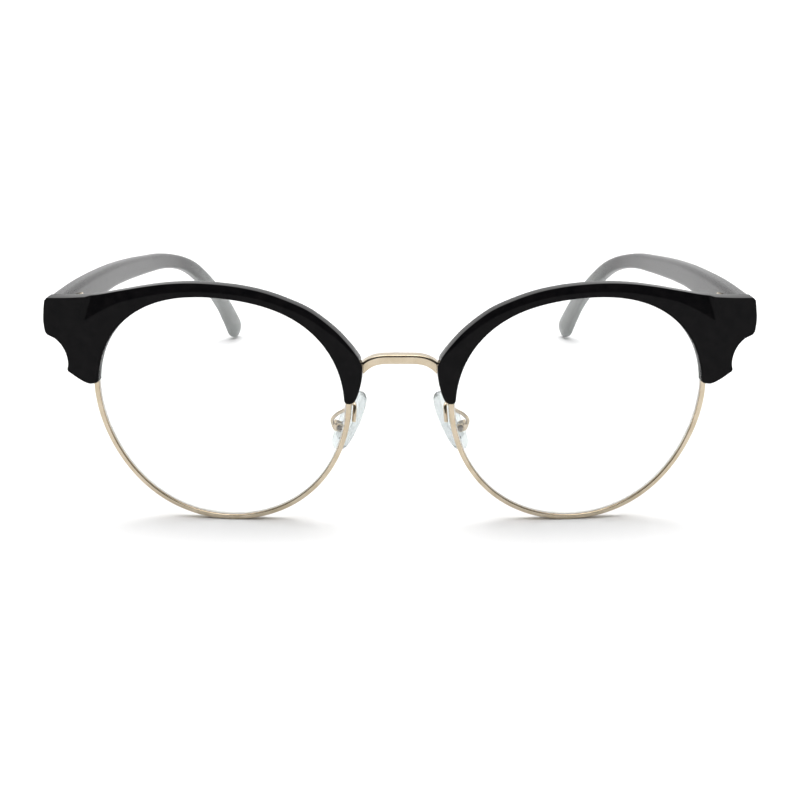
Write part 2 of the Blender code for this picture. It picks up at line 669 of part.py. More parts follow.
def temple_stations(per_span=2):
    """Places along the temple: middle, outward, upward, height, width and the way ahead."""
    points = smooth(TEMPLE_LINE, per_span)
    middles = [Vector(p[:3]) * MM for p in points]
    stations = []
    for i, middle in enumerate(middles):
        ahead = middles[min(i + 1, len(middles) - 1)] - middles[max(i - 1, 0)]
        ahead.normalize()
        out = ahead.cross(Vector((0, 0, 1))).normalized()
        up = out.cross(ahead)
        stations.append((middle, out, up, points[i][3] * MM, points[i][4] * MM, ahead))
    return stations


def temple_ring(middle, out, up, height, width, corner):
    """A rectangle with its corners cut, across the temple."""
    a, b = width / 2, height / 2
    return [middle + out * x + up * z for x, z in (
        (a, b - corner), (a - corner, b), (-a + corner, b), (-a, b - corner),
        (-a, -b + corner), (-a + corner, -b), (a - corner, -b), (a, -b + corner))]


def core_loft(stations, play):
    """The core wire's body, or the slot for it when it is given some play."""
    return loft([temple_ring(*s[:3], CORE_HEIGHT + 2 * play, CORE_WIDTH + 2 * play, CORE_CORNER)
                 for s in stations])


def make_temples():
    """The acetate temples, each with a slot from its front end for the core wire."""
    stations = temple_stations()
    rings = [temple_ring(*s[:5], TEMPLE_CORNER) for s in stations]
    middle, out, up, height, width, ahead = stations[-1]
    for beyond, scale in TIP_ROUNDING:
        rings.append(temple_ring(middle + ahead * beyond * MM, out, up, height * scale,
                                 width * scale, TEMPLE_CORNER * scale))
    reach = 20 * MM
    front_cut = box((-reach, -reach, HINGE_Z - reach), (reach, -BUTT, HINGE_Z + reach))
    first, last = CORE_STATIONS
    cuts = [moved(front_cut, axis='Z', angle=WRAP), core_loft(stations[:last + 1], FIT)]
    for y in TEMPLE_RIVETS:
        hole = cylinder(RIVET_RADIUS + PIN_PLAY, (0, y, HINGE_Z),
                        (TEMPLE_INNER + TEMPLE_RIVET_DEPTH + 2 * SEAT, y, HINGE_Z), 12)
        cuts.append(moved(hole, axis='Z', angle=TOE_IN))
    pair("temple", combine(loft(rings), cuts, 'DIFFERENCE'), SATIN_ACETATE, "temple")
    pair("core_wire", core_loft(stations[first:last], 0.0), DARK_STEEL, "temple")


# ---------------------------------------------------------------- nose pads

def pad_ring(x, scale, points=18):
    """Outline of the nose pad: an egg with its wide end down."""
    ring = []
    for i in range(points):
        angle = 2 * math.pi * i / points
        c, s = math.cos(angle), math.sin(angle)
        y = PAD_WIDTH / 2 * math.copysign(abs(c) ** 0.85, c) * (1 - PAD_BELLY * s)
        z = PAD_HEIGHT / 2 * math.copysign(abs(s) ** 0.9, s)
        ring.append((x, y * scale, z * scale + PAD_PIVOT_DOWN))
    return ring


def crossing_bore():
    """A cutter for the screw's hole, along the pad's axis."""
    return cylinder(PAD_BORE, (0, -2 * CHEEK, 0), (0, 2 * CHEEK, 0), 12)


def make_pads():
    """The soft pads and their hard inserts, each with a lug for the screw."""
    half = PAD_THICKNESS / 2
    middle = -PAD_PIVOT_OUT
    body = loft([pad_ring(middle + half, PAD_EDGE), pad_ring(middle + 0.4 * half, 1.0),
                 pad_ring(middle - 0.4 * half, 1.0), pad_ring(middle - half, PAD_EDGE)])
    back = middle + half
    floor = back - INSERT_DEPTH
    y, z = INSERT_SIZE[0] / 2, INSERT_SIZE[1] / 2
    pocket = box((floor, -y - INSERT_PLAY, -z - INSERT_PLAY),
                 (0, y + INSERT_PLAY, z + INSERT_PLAY))
    pair("nose_pad", combine(body, [pocket], 'DIFFERENCE'), CLEAR_SILICONE, "pad")
    plate = box((floor + FIT, -y, -z), (back, y, z))
    lug = box((back - 0.3 * MM, -LUG_HALF, -LUG_RADIUS), (0, LUG_HALF, LUG_RADIUS))
    end = cylinder(LUG_RADIUS, (0, -LUG_HALF, 0), (0, LUG_HALF, 0), 20)
    insert = combine(plate, [lug, end], 'UNION')
    pair("pad_insert", combine(insert, [crossing_bore()], 'DIFFERENCE'), HARD_CLEAR, "pad")


def make_pad_boxes():
    """The boxes at the ends of the arms, each with the screw that holds the pad's lug."""
    front, depth = -LUG_RADIUS, 0.95 * MM
    case = box((front, -CHEEK, -BOX_HALF_HEIGHT), (depth, CHEEK, BOX_HALF_HEIGHT))
    slot = box((2 * front, -BOX_SLOT_HALF, -2 * BOX_HALF_HEIGHT),
               (LUG_RADIUS + FIT, BOX_SLOT_HALF, 2 * BOX_HALF_HEIGHT))
    pair("pad_box", combine(case, [slot, crossing_bore()], 'DIFFERENCE'), GOLD_METAL, "pad")
    screw = slotted_screw(0.6 * MM, 0.35 * MM, PAD_SCREW_RADIUS, 2 * (CHEEK + SEAT))
    moved(screw, (0, -CHEEK - SEAT, 0), 'X', math.pi / 2)
    pair("pad_screw", screw, DARK_STEEL, "pad")


def make_pad_arms():
    line = smooth([Vector(p) * MM for p in PAD_ARM], 2)
    pair("pad_arm", along_curve(line, radius=ARM_RADIUS), GOLD_METAL, "side")


# ---------------------------------------------------------------- assembly

clear_scene()
PARTS = new_collection("browline_eyeglasses")
CUTTERS = new_collection("cutters")
GOLD_METAL = material("gold_metal", GOLD)
BLACK_ACETATE = material("black_acetate", BLACK_GLOSS)
SATIN_ACETATE = material("satin_acetate", BLACK_SATIN)
CLEAR_PLASTIC = material("clear_lens", CLEAR)
CLEAR_SILICONE = material("clear_silicone", SILICONE)
HARD_CLEAR = material("hard_clear_plastic", HARD_PLASTIC)
DARK_STEEL = material("dark_steel", STEEL)
FRAMES = make_frames()

make_rims()
make_lenses()
make_brows()
make_bridge()
make_brow_screws()
make_closing_blocks()
make_front_hinges()
make_temple_hinges()
make_temples()
make_pads()
make_pad_boxes()
make_pad_arms()
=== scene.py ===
import json
import math

import bmesh
import bpy
from mathutils import Matrix, Vector


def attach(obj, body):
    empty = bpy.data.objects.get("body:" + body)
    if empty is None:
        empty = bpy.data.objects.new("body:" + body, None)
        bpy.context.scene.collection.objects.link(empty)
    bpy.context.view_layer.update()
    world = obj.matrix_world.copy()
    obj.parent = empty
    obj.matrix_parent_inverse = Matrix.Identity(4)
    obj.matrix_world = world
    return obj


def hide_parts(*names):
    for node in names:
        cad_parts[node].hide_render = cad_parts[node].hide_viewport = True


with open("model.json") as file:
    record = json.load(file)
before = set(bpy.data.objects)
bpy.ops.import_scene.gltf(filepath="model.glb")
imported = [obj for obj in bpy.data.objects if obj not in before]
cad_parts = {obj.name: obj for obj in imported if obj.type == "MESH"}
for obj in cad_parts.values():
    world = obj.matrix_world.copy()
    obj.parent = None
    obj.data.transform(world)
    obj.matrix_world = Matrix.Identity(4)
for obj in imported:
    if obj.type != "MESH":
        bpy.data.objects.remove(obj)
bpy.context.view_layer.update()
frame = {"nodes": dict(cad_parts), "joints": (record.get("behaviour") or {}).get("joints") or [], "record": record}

MM = 0.001
SIDES = (("left", 1), ("right", -1))
JOINTS = {joint["name"]: joint for joint in frame["joints"]}

# ------------------------------------------------------------------ sizes shared with the frame

WRAP = math.radians(4.0)            # each half of the front turns back by this much
HINGE_OUT = 29.2 * MM               # hinge axis from the lens centre, along the front
HINGE_BACK = 2.3 * MM               # and behind the front of the eyewires
HINGE = Vector(JOINTS["temple_left_fold"]["pos_m"])
LENS_X = HINGE.x - HINGE_OUT * math.cos(WRAP) + HINGE_BACK * math.sin(WRAP)
FRONT_Y = HINGE.y - HINGE_OUT * math.sin(WRAP) - HINGE_BACK * math.cos(WRAP)
LENS_Z = 25.19 * MM
PAD_PIVOT = Vector(JOINTS["pad_left_rock"]["pos_m"])
PAD_AXIS = Vector(JOINTS["pad_left_rock"]["axis"]).normalized()
PAD_LEAN = math.radians(26.0)

OPENING_RADIUS = 23.92 * MM         # mean radius of the lens opening
OPENING_WAVES = ((2, 0.79 * MM, 0.59 * MM), (3, -0.20 * MM, 0.67 * MM), (4, -0.21 * MM, 0.03 * MM))
RIM_WIDTH = 1.0 * MM
RIM_DEPTH = 2.0 * MM
RIM_OUT = 1.10 * MM                 # from the opening to the wire's middle
RIM_NOSE_IN = 0.50 * MM             # less than that at the nose
RIM_LOW_OUT = 0.30 * MM             # and more at the low corner
LOW_CORNER = math.radians(232.0)
GROOVE = 0.35 * MM
GROOVE_WIDTH = 1.0 * MM
CLOSE_ANGLE = math.radians(20.0)    # the eyewire is cut here for its closing block
CLOSE_GAP = 0.3 * MM
RIM_FACE = (                        # front of the wire: out from its middle, depth, rounding
    (-0.5 * MM, 0.1 * MM, 0.04 * MM), (-0.36 * MM, -0.03 * MM, 0.06 * MM),
    (0.5 * MM, -0.01 * MM, 0.30 * MM),
)
RIM_BACK_ROUND = 0.12 * MM
GROOVE_ROUND = 0.05 * MM
RIM_STATIONS = 300

LENS_CURVE = 131 * MM
LENS_V = 0.62 * MM                  # half the lens's thickness at the edge
LENS_V_HEIGHT = 0.46 * MM
LENS_PLAY = 0.12 * MM
LENS_SHARES = (0.04, 0.2, 0.36, 0.52, 0.66, 0.78, 0.88, 0.95, 0.995, 1.0)
LENS_POINTS = 180

BROW_FRONT = -2.4 * MM
BROW_BACK = 0.9 * MM
LIP_BACK = 0.04 * MM                # the back of the brow past its flange
FIT = 0.08 * MM                     # gap between the brow and the eyewire
FACET_SLOPE = 0.55
FACET_DROP = 1.1 * MM
FACET_SOFT = 0.09 * MM              # rounding of the ridge under the facet
INNER_ROUND = 0.5 * MM
TOP_ROUND = 0.25 * MM
FLANGE_ROUND = 0.12 * MM
REBATE_ROUND = 0.05 * MM
LIP_ROUND = 0.15 * MM
END_ROUND = 0.8 * MM
END_DRAW = 0.98                     # flattens the round of the ends by this factor
FACE_POINTS = 34                    # points across the brow's face
FACE_START = 0.12                   # the first one, as a share of the way across
BROW_SCREW = (-26.25 * MM, 34.1 * MM)
BROW_FLANGE_END = 159.5             # angle round the lens, in degrees
BROW_RUNS = (   # out and up in mm, and the angle round the lens in degrees
    ((26.5, 29.4, 10.5), (28.6, 30.7, 12.0), (30.5, 32.1, 13.3)),
    ((30.6, 32.5, 13.7), (30.35, 33.8, 14.8), (30.6, 35.7, 16.3), (31.4, 37.5, 18.0),
     (32.7, 38.9, 19.8), (34.1, 39.6, 21.4)),
    ((34.5, 40.2, 22.3), (34.65, 42.4, 26.0), (34.4, 44.8, 30.0), (34.1, 46.5, 32.6)),
    ((33.6, 47.0, 33.8), (29.0, 47.1, 38.0), (24.1, 47.5, 43.5), (19.2, 48.4, 50.8),
     (14.4, 49.3, 59.3), (9.7, 49.95, 68.8), (5.0, 50.2, 78.8), (0.3, 50.05, 89.3),
     (-4.4, 49.55, 100.2), (-9.1, 48.6, 111.3), (-13.7, 47.05, 122.2), (-18.3, 44.9, 133.0),
     (-22.9, 41.4, 144.8), (-26.0, 38.1, 153.6), (-27.7, 35.8, 158.4)),
    ((-28.4, 34.2, 161.0), (-28.35, 32.2, 164.5), (-28.0, 30.2, 168.5), (-27.5, 28.4, 172.4),
     (-26.9, 27.1, 175.2), (-26.1, 26.3, 177.2)),
)
TOP_RUN = 3                         # the run along the brow's top edge
RUN_STEPS = 14
EDGE_STEPS = 4
FACET = (   # width of the facet under the brow's top edge, by the outward place
    (27.0, 5.2), (25.5, 4.5), (23.8, 3.5), (21.9, 2.65), (19.2, 1.95), (16.5, 1.75),
    (9.9, 1.5), (5.0, 1.45), (-18.0, 1.15), (-22.0, 0.95), (-26.0, 0.5), (-27.7, 0.12),
)
SCOOP_TOP = 25.5 * MM               # the scoop starts here at the top edge
SCOOP_LEAN = 0.25                   # and further out by this share of the way down
SCOOP_SOFT = 0.9 * MM               # width of the rounded step into the scoop

TEMPLE_LINE = (   # out, back and up from the hinge, height and width, in mm
    (3.3, -6.0, 43.55, 6.9, 3.8), (3.15, 0.0, 43.5, 6.9, 3.8), (2.68, 15.7, 43.15, 6.4, 3.75),
    (2.02, 35.0, 42.0, 5.35, 3.6), (1.5, 48.7, 40.5, 5.0, 3.5), (0.9, 61.7, 38.7, 4.75, 3.5),
    (0.15, 73.7, 36.9, 4.4, 3.5), (-0.9, 84.7, 35.2, 4.1, 3.5), (-2.3, 94.7, 33.0, 3.8, 3.5),
    (-3.9, 102.7, 30.6, 3.7, 3.5), (-5.6, 109.7, 27.4, 3.9, 3.5), (-7.45, 116.7, 22.8, 4.0, 3.5),
    (-9.4, 123.7, 17.4, 4.2, 3.5), (-11.3, 129.7, 11.4, 5.0, 3.4), (-13.2, 135.2, 3.8, 6.2, 3.3),
)
TEMPLE_ROUND = 1.3 * MM
TEMPLE_NARROW = 3.3 * MM            # a narrower section is rounded less
CORNER_STEPS = 8
TIP_LENGTH = 3.75 * MM
TIP_TOP = 22 * MM                   # below this height the temple's edges get rounder
TIP_ROUND = 1.6 * MM
TIP_STEPS = 9
TIP_SPARE = 0.35                    # share of a step kept back, so the tip isn't a point
BUTT = 1.25 * MM                    # the temple is cut off square here, ahead of its hinge
PAINTED_SHEEN_START = 32 * MM                # the temples' colour is painted lighter, from black to grey, between these depths: a painted sheen on the tips
PAINTED_SHEEN_END = 58 * MM

PAD_PIVOT_OUT = 1.75 * MM
PAD_PIVOT_DOWN = 1.8 * MM
PAD_HEIGHT = 13.6 * MM
PAD_WIDTH = 7.6 * MM
PAD_THICKNESS = 1.7 * MM
PAD_EDGE = 0.84                     # where the pad's rounded edge begins
PAD_BELLY = 0.16                    # how much wider the pad is below
PAD_TRIM = 0.45                     # the lower back edge of the pad is cut away by this share
PAD_SQUARE = (0.85, 0.9)            # powers that square the oval, across and along the pad
PAD_CROWN = 0.7                     # power of the rounded edge
PAD_DISH = 0.1 * MM                 # how far the face stands out in the middle
PAD_SHARES = (0.1, 0.35, 0.6, 0.75)
PAD_POINTS = 64
PAD_STEPS = 10
INSERT_SIZE = (2.1 * MM, 4.6 * MM)
INSERT_DEPTH = 0.65 * MM
INSERT_PLAY = 0.1 * MM
INSERT_ROUND = 0.3 * MM
POCKET_TOP = 1 * MM                 # the cutter stands out of the pad's back by this much
ARM_RADIUS = 0.38 * MM
ARM_POINTS = 20
FOOT_FLARE = 0.25                   # the wire's foot is wider by this share
FOOT_STATIONS = 12
PAD_ARM = (
    (9.29, -0.5, 21.6), (9.14, -0.45, 23.4), (9.09, 0.15, 24.7), (9.5, 1.5, 24.9),
    (10.2, 2.9, 23.9), (11.2, 4.1, 22.7), (12.7, 5.0, 21.6), (13.7, 5.42, 20.6),
    (14.03, 5.6, 19.8), (13.87, 5.76, 19.0),
)

BRIDGE_HEIGHT = 1.85 * MM
BRIDGE_DEPTH = 2.4 * MM
BRIDGE_FRONT = -1.7 * MM
BRIDGE_BEVEL = (0.38 * MM, 0.24 * MM)   # down the front and back along the top
BRIDGE_ROUNDS = (0.3 * MM, 0.05 * MM, 0.12 * MM, 0.2 * MM, 0.2 * MM)
EYELET_RADIUS = 1.5 * MM
EYELET_DEPTHS = (0.15 * MM, 1.1 * MM)
EYELET_ROUND = 0.12 * MM
EYELET_POINTS = 48
BROW_SCREW_HOLE = 0.6 * MM
BRIDGE_LINE = (
    (0.0, 34.86), (3.0, 34.83), (4.6, 34.62), (5.9, 34.15), (7.0, 33.4), (8.1, 32.4),
    (9.2, 31.6), (10.1, 31.1),
)
LINE_STEPS = 10                     # points to each span of a smooth line

# ------------------------------------------------------------------ studio sizes

CAMERA_BACK = 244.95 * MM           # in front of the eyewires' front
CAMERA_UP = 106.98 * MM
CAMERA_DIP = math.radians(18.3)
CAMERA_SENSOR = 36
CAMERA_LENS = 57.825
CAMERA_NEAR = 0.01
FLOOR_SIZE = 6
FLOOR_CELLS = 4
FLOOR_Z = -0.00002                  # just under the eyewires, so no faces share a plane

DARK_FRONT = 0.06                   # strengths of the photo tent's walls
PALE_BACK = 1.15
BRIGHT_ROOF = 3.6
BACK_STEP = (-0.2, 0.35)            # where each wall begins and ends, as parts of a direction
ROOF_STEP = (0.80, 0.93)
HORIZON_STEP = (0.06, 0.13)

TOP_BOX_PLACE = (0.0, 0.05, 1.0)
TOP_BOX_TARGET = (0, 0, 0)
TOP_BOX_SIZE = (0.8, 0.8)
TOP_BOX_POWER = 1.2


# ------------------------------------------------------------------ frames of the two sides

def side_frame(sign):
    """Y from the eyewires' front, X out from the middle of the face."""
    return Matrix.Translation((0, FRONT_Y, 0)) @ Matrix.Diagonal((sign, 1, 1, 1))


def front_frame(sign):
    """The same from the lens centre, turned back with this half of the front."""
    turn = Matrix.Rotation(WRAP, 4, 'Z')
    return side_frame(sign) @ Matrix.Translation((LENS_X, 0, 0)) @ turn


def temple_frame(sign):
    """The same from the hinge."""
    return Matrix.Diagonal((sign, 1, 1, 1)) @ Matrix.Translation((HINGE.x, HINGE.y, 0))


def pad_frame(sign):
    """Y along the pad's joint, X away from the nose, Z up along the pad."""
    across = PAD_AXIS.cross(Vector((-math.sin(PAD_LEAN), 0, math.cos(PAD_LEAN)))).normalized()
    up = across.cross(PAD_AXIS)
    turn = Matrix((across, PAD_AXIS, up)).transposed().to_4x4()
    return Matrix.Diagonal((sign, 1, 1, 1)) @ Matrix.Translation(PAD_PIVOT) @ turn


# ------------------------------------------------------------------ mesh helpers

def smooth(points, per_span):
    """Points on a Catmull-Rom curve through the given tuples, with the ends kept."""
    out = []
    last = len(points) - 1
    for i in range(last):
        before = points[max(i - 1, 0)]
        after = points[min(i + 2, last)]
        for k in range(per_span):
            t = k / per_span
            out.append(tuple(
                0.5 * (2 * b + (c - a) * t + (2 * a - 5 * b + 4 * c - d) * t ** 2
                       + (3 * b - a - 3 * c + d) * t ** 3)
                for a, b, c, d in zip(before, points[i], points[i + 1], after)))
    out.append(tuple(points[last]))
    return out


def rounded(corners, steps=4, most=0.45):
    """A closed ring through the corners (point, reach), each rounded unless its reach is 0."""
    ring = []
    for i, (point, reach) in enumerate(corners):
        if not reach:
            ring.append(point)
            continue
        before = corners[i - 1][0] - point
        after = corners[(i + 1) % len(corners)][0] - point
        start = point + before.normalized() * min(reach, most * before.length)
        end = point + after.normalized() * min(reach, most * after.length)
        for k in range(steps + 1):
            t = k / steps
            ring.append(start * (1 - t) ** 2 + point * 2 * t * (1 - t) + end * t ** 2)
    return ring


def loft(rings, closed=False, caps=True):
    """A mesh through rings of points; closed joins the last ring to the first."""
    work = bmesh.new()
    loops = [[work.verts.new(point) for point in ring] for ring in rings]
    following = loops[1:] + loops[:1] if closed else loops[1:]
    for one, two in zip(loops, following):
        for i, corner in enumerate(one):
            j = (i + 1) % len(one)
            work.faces.new((corner, one[j], two[j], two[i]))
    if caps and not closed:
        work.faces.new(loops[0])
        work.faces.new(loops[-1])
    return work


def piece(name, work, at, look, body, nodes, sharp=38, cut=None):
    """The finished object: placed, mirrored where the frame is, and tied to the CAD model."""
    bmesh.ops.transform(work, matrix=at, verts=work.verts)
    bmesh.ops.recalc_face_normals(work, faces=work.faces)
    mesh = bpy.data.meshes.new(name)
    work.to_mesh(mesh)
    work.free()
    made = bpy.data.objects.new(name, mesh)
    bpy.context.scene.collection.objects.link(made)
    if cut:
        subtract(made, cut)
    if not made.data.materials:
        made.data.materials.append(look)
    made.data.shade_smooth()
    made.data.set_sharp_from_angle(angle=math.radians(sharp))
    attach(made, body)
    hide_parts(*nodes)
    return made


def subtract(made, cutter_work):
    """Cuts the given shape out of the object and keeps the result as its mesh."""
    mesh = bpy.data.meshes.new("cutter")
    cutter_work.to_mesh(mesh)
    cutter_work.free()
    cutter = bpy.data.objects.new("cutter", mesh)
    bpy.context.scene.collection.objects.link(cutter)
    step = made.modifiers.new("cut", 'BOOLEAN')
    step.operation = 'DIFFERENCE'
    step.solver = 'EXACT'
    step.object = cutter
    bpy.context.view_layer.update()
    graph = bpy.context.evaluated_depsgraph_get()
    result = bpy.data.meshes.new_from_object(made.evaluated_get(graph))
    made.modifiers.clear()
    made.data = result
    bpy.data.objects.remove(cutter)


# ------------------------------------------------------------------ node helpers

def new_material(name):
    made = bpy.data.materials.new(name)
    made.use_nodes = True
    tree = made.node_tree
    return made, tree, tree.nodes["Principled BSDF"]


def link(tree, source, target):
    tree.links.new(source, target)


def noise(tree, scale, detail=3.0, stretch=(1, 1, 1)):
    """Noise over the object's own place, in metres, with the scale in waves a millimetre."""
    where = tree.nodes.new("ShaderNodeTexCoord")
    mapping = tree.nodes.new("ShaderNodeMapping")
    mapping.inputs["Scale"].default_value = [s / MM for s in stretch]
    texture = tree.nodes.new("ShaderNodeTexNoise")
    texture.inputs["Scale"].default_value = scale
    texture.inputs["Detail"].default_value = detail
    link(tree, where.outputs["Object"], mapping.inputs["Vector"])
    link(tree, mapping.outputs["Vector"], texture.inputs["Vector"])
    return texture.outputs["Fac"]


def ramp(tree, source, low, high, start=0.3, end=0.7):
    """The source between two colours."""
    made = tree.nodes.new("ShaderNodeValToRGB")
    made.color_ramp.elements[0].position = start
    made.color_ramp.elements[0].color = (*low, 1)
    made.color_ramp.elements[1].position = end
    made.color_ramp.elements[1].color = (*high, 1)
    link(tree, source, made.inputs["Fac"])
    return made.outputs["Color"]


def spread(tree, source, low, high):
    """The source, from 0.3 to 0.7, as a number from low to high."""
    made = tree.nodes.new("ShaderNodeMapRange")
    made.inputs["From Min"].default_value = 0.3
    made.inputs["From Max"].default_value = 0.7
    made.inputs["To Min"].default_value = low
    made.inputs["To Max"].default_value = high
    link(tree, source, made.inputs["Value"])
    return made.outputs["Result"]


def soft_step(tree, source, start, end, low, high):
    """The source from start to end as a number that eases from low to high."""
    made = tree.nodes.new("ShaderNodeMapRange")
    made.interpolation_type = 'SMOOTHSTEP'
    made.inputs["From Min"].default_value = start
    made.inputs["From Max"].default_value = end
    made.inputs["To Min"].default_value = low
    made.inputs["To Max"].default_value = high
    link(tree, source, made.inputs["Value"])
    return made.outputs["Result"]


def bump(tree, shader, source, depth, strength=0.5):
    made = tree.nodes.new("ShaderNodeBump")
    made.inputs["Strength"].default_value = strength
    made.inputs["Distance"].default_value = depth
    link(tree, source, made.inputs["Height"])
    link(tree, made.outputs["Normal"], shader.inputs["Normal"])


# ------------------------------------------------------------------ materials

def plated_metal():
    """Pale gold plating: fine polish lines and soft clouds in the colour."""
    made, tree, shader = new_material("plated_metal")
    shader.inputs["Metallic"].default_value = 1.0
    clouds = noise(tree, 0.35, 2.0)
    link(tree, ramp(tree, clouds, (0.46, 0.385, 0.275), (0.55, 0.47, 0.36)),
         shader.inputs["Base Color"])
    lines = noise(tree, 6.0, 4.0, (1, 1, 0.2))
    link(tree, spread(tree, lines, 0.17, 0.27), shader.inputs["Roughness"])
    bump(tree, shader, lines, 0.0012 * MM)
    return made


def polished_acetate():
    """Black acetate with a deep polish: a faint ripple, fine hairlines and a trace of haze."""
    made, tree, shader = new_material("polished_acetate")
    ripple = noise(tree, 0.5, 2.0)
    link(tree, ramp(tree, ripple, (0.003, 0.003, 0.0035), (0.006, 0.0055, 0.006)),
         shader.inputs["Base Color"])
    hairs = noise(tree, 9.0, 4.0, (0.25, 1, 1))
    link(tree, spread(tree, hairs, 0.05, 0.11), shader.inputs["Roughness"])
    shader.inputs["IOR"].default_value = 1.49
    shader.inputs["Specular IOR Level"].default_value = 0.06
    bump(tree, shader, ripple, 0.004 * MM, 0.3)
    return made


def satin_black():
    """The temples' acetate: the same black under a softer, tumbled surface, with a painted sheen that greys the
    colour towards the tips.
    """
    made, tree, shader = new_material("satin_black")
    clouds = noise(tree, 0.3, 2.0)
    where = tree.nodes.new("ShaderNodeTexCoord")
    split = tree.nodes.new("ShaderNodeSeparateXYZ")
    link(tree, where.outputs["Object"], split.inputs["Vector"])
    # painted sheen: the base colour eases from black to grey along the temple, standing in for the light the tips
    # catch
    sheen_mix = tree.nodes.new("ShaderNodeMix")
    sheen_mix.data_type = 'RGBA'
    link(tree, soft_step(tree, split.outputs["Y"], PAINTED_SHEEN_START, PAINTED_SHEEN_END, 0.0, 1.0),
         sheen_mix.inputs["Factor"])
    link(tree, ramp(tree, clouds, (0.012, 0.012, 0.013), (0.020, 0.019, 0.019)),
         sheen_mix.inputs["A"])
    link(tree, ramp(tree, clouds, (0.15, 0.16, 0.155), (0.19, 0.20, 0.195)),
         sheen_mix.inputs["B"])
    link(tree, sheen_mix.outputs["Result"], shader.inputs["Base Color"])
    grain = noise(tree, 5.0, 5.0)
    link(tree, spread(tree, grain, 0.24, 0.34), shader.inputs["Roughness"])
    shader.inputs["IOR"].default_value = 1.49
    bump(tree, shader, grain, 0.002 * MM, 0.4)
    return made


def clear_lens():
    """The demonstration lens: clear, hard coated, with hardly any tint."""
    made, tree, shader = new_material("clear_lens")
    shader.inputs["Transmission Weight"].default_value = 1.0
    shader.inputs["IOR"].default_value = 1.498
    film = noise(tree, 0.12, 2.0)
    link(tree, ramp(tree, film, (0.955, 0.962, 0.962), (0.97, 0.977, 0.977)),
         shader.inputs["Base Color"])
    link(tree, spread(tree, noise(tree, 1.5, 2.0), 0.0, 0.012), shader.inputs["Roughness"])
    return made


def ground_edge_and_glow():
    """The bevel round the lens: a fine ground surface, with a painted glow standing in for the light the clear
    plastic carries to its edge.
    """
    made, tree, shader = new_material("ground_edge_and_glow")
    shader.inputs["Transmission Weight"].default_value = 0.1
    shader.inputs["IOR"].default_value = 1.498
    grain = noise(tree, 6.0, 3.0)
    link(tree, ramp(tree, grain, (0.90, 0.91, 0.91), (0.95, 0.96, 0.96)),
         shader.inputs["Base Color"])
    # painted glow: a weak emission, though the lens gives no light of its own
    shader.inputs["Emission Color"].default_value = (0.95, 0.93, 0.88, 1)
    shader.inputs["Emission Strength"].default_value = 0.32
    link(tree, spread(tree, grain, 0.5, 0.65), shader.inputs["Roughness"])
    bump(tree, shader, grain, 0.004 * MM)
    return made


def clear_silicone():
    """Soft pads: clear with a grey green cast and a faintly frosted skin."""
    made, tree, shader = new_material("clear_silicone")
    shader.inputs["Transmission Weight"].default_value = 1.0
    shader.inputs["IOR"].default_value = 1.25
    clouds = noise(tree, 0.5, 2.0)
    link(tree, ramp(tree, clouds, (0.56, 0.60, 0.60), (0.64, 0.68, 0.68)),
         shader.inputs["Base Color"])
    skin = noise(tree, 1.6, 2.0)
    link(tree, spread(tree, skin, 0.12, 0.24), shader.inputs["Roughness"])
    bump(tree, shader, skin, 0.003 * MM, 0.15)
    return made


def hard_clear():
    """The pads' inserts: clear hard plastic, a little milky."""
    made, tree, shader = new_material("hard_clear")
    shader.inputs["Transmission Weight"].default_value = 0.8
    shader.inputs["IOR"].default_value = 1.58
    clouds = noise(tree, 0.8, 2.0)
    link(tree, ramp(tree, clouds, (0.74, 0.78, 0.78), (0.84, 0.87, 0.87)),
         shader.inputs["Base Color"])
    link(tree, spread(tree, clouds, 0.05, 0.12), shader.inputs["Roughness"])
    return made


def turned_steel():
    """Small screws: dark steel with turning marks."""
    made, tree, shader = new_material("turned_steel")
    shader.inputs["Metallic"].default_value = 1.0
    marks = noise(tree, 8.0, 4.0, (0.3, 1, 1))
    link(tree, ramp(tree, marks, (0.20, 0.18, 0.16), (0.34, 0.31, 0.28)),
         shader.inputs["Base Color"])
    link(tree, spread(tree, marks, 0.22, 0.36), shader.inputs["Roughness"])
    bump(tree, shader, marks, 0.002 * MM)
    return made


def floor_paint():
    """The plain pale floor."""
    made, tree, shader = new_material("floor_paint")
    clouds = noise(tree, 0.02, 2.0)
    link(tree, ramp(tree, clouds, (0.90, 0.90, 0.90), (0.92, 0.92, 0.92)),
         shader.inputs["Base Color"])
    shader.inputs["Roughness"].default_value = 0.9
    shader.inputs["Specular IOR Level"].default_value = 0.1
    return made


# ------------------------------------------------------------------ outlines

def opening(angle, offset=0.0):
    """Point (x, z) of the lens opening, moved out along its normal."""
    radius = OPENING_RADIUS
    slope = 0.0
    for number, cosine, sine in OPENING_WAVES:
        c, s = math.cos(number * angle), math.sin(number * angle)
        radius += cosine * c + sine * s
        slope += number * (sine * c - cosine * s)
    tangent = Vector((slope * math.cos(angle) - radius * math.sin(angle),
                      slope * math.sin(angle) + radius * math.cos(angle))).normalized()
    return (radius * math.cos(angle) + offset * tangent.y,
            LENS_Z + radius * math.sin(angle) - offset * tangent.x)


def rim_offset(angle):
    """Middle of the eyewire outside the opening."""
    nose = ((1 - math.cos(angle)) / 2) ** 3
    low = max(math.cos(angle - LOW_CORNER), 0.0) ** 6
    return RIM_OUT - RIM_NOSE_IN * nose + RIM_LOW_OUT * low


def facet_width(outward):
    """Width of the facet in mm at a place that many mm out from the lens centre."""
    if outward >= FACET[0][0]:
        return FACET[0][1]
    for (x0, w0), (x1, w1) in zip(FACET, FACET[1:]):
        if x1 <= outward <= x0:
            return w0 + (w1 - w0) * (x0 - outward) / (x0 - x1)
    return 0.0


def distance(point, one, two):
    """From the point to the segment between the other two."""
    along = two - one
    share = min(max((point - one).dot(along) / along.length_squared, 0.0), 1.0)
    return (one + along * share - point).length


def top_edge():
    """Points (x, z) along the brow's top edge, from its nose end to the endpiece."""
    return [Vector(point[:2]) * MM for point in smooth(BROW_RUNS[TOP_RUN], EDGE_STEPS)]


